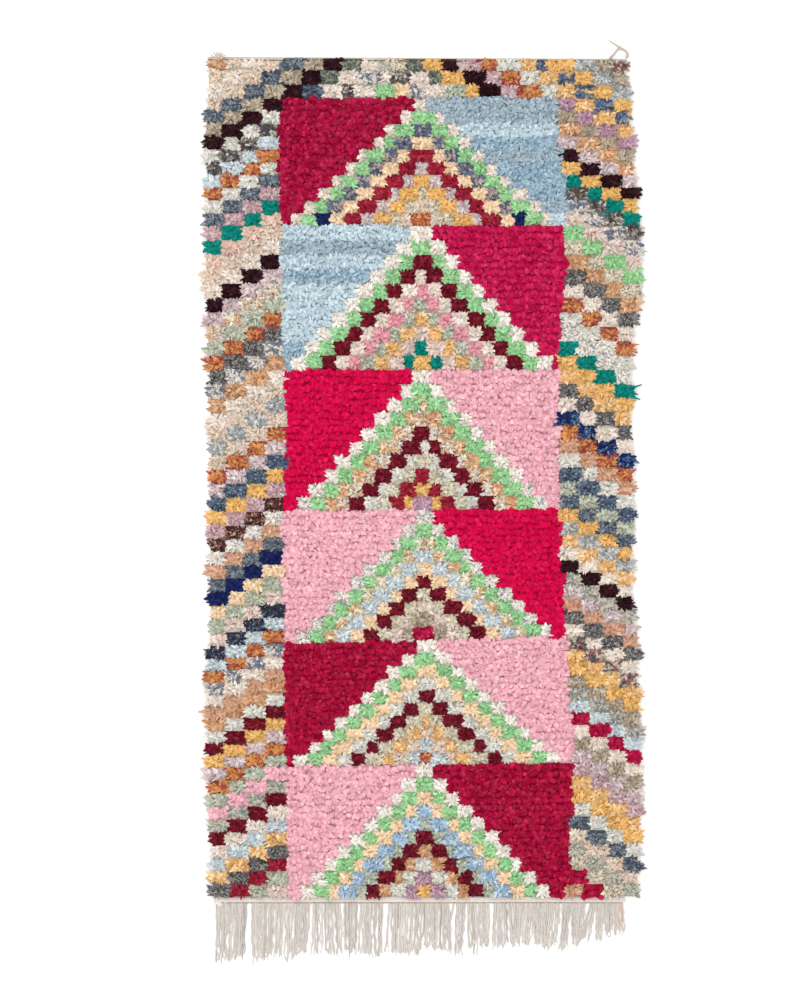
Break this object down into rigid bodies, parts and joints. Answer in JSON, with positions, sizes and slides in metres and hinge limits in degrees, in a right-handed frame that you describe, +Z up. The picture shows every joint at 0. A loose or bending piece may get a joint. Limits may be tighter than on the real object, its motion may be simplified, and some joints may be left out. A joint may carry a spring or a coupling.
{
  "type": "boucherouite rug",
  "caption": "Hand-knotted rag rug lying flat, pile up: bright triangles and stepped chevrons in a diagonal rag border, with a cream heading and warp fringe at one end.",
  "frame": {"origin": "on the floor under the middle of the rug's box, fringe included", "axes": "+X across the rug's width, +Y along its length towards the plain end, +Z up through the pile"},
  "size_m": [1.0104, 2.1174, 0.0285],
  "materials": {
    "rag_pile": "matt cut rag pile in many colours",
    "warp_fringe": "soft unbleached cotton yarn",
    "selvedge_cord": "flat-woven cotton with loose warp cord"
  },
  "bodies": {
    "root": {"pile_field": "rag_pile", "heading_fringe": "warp_fringe", "plain_end_selvedge": "selvedge_cord"}
  },
  "joints": []
}
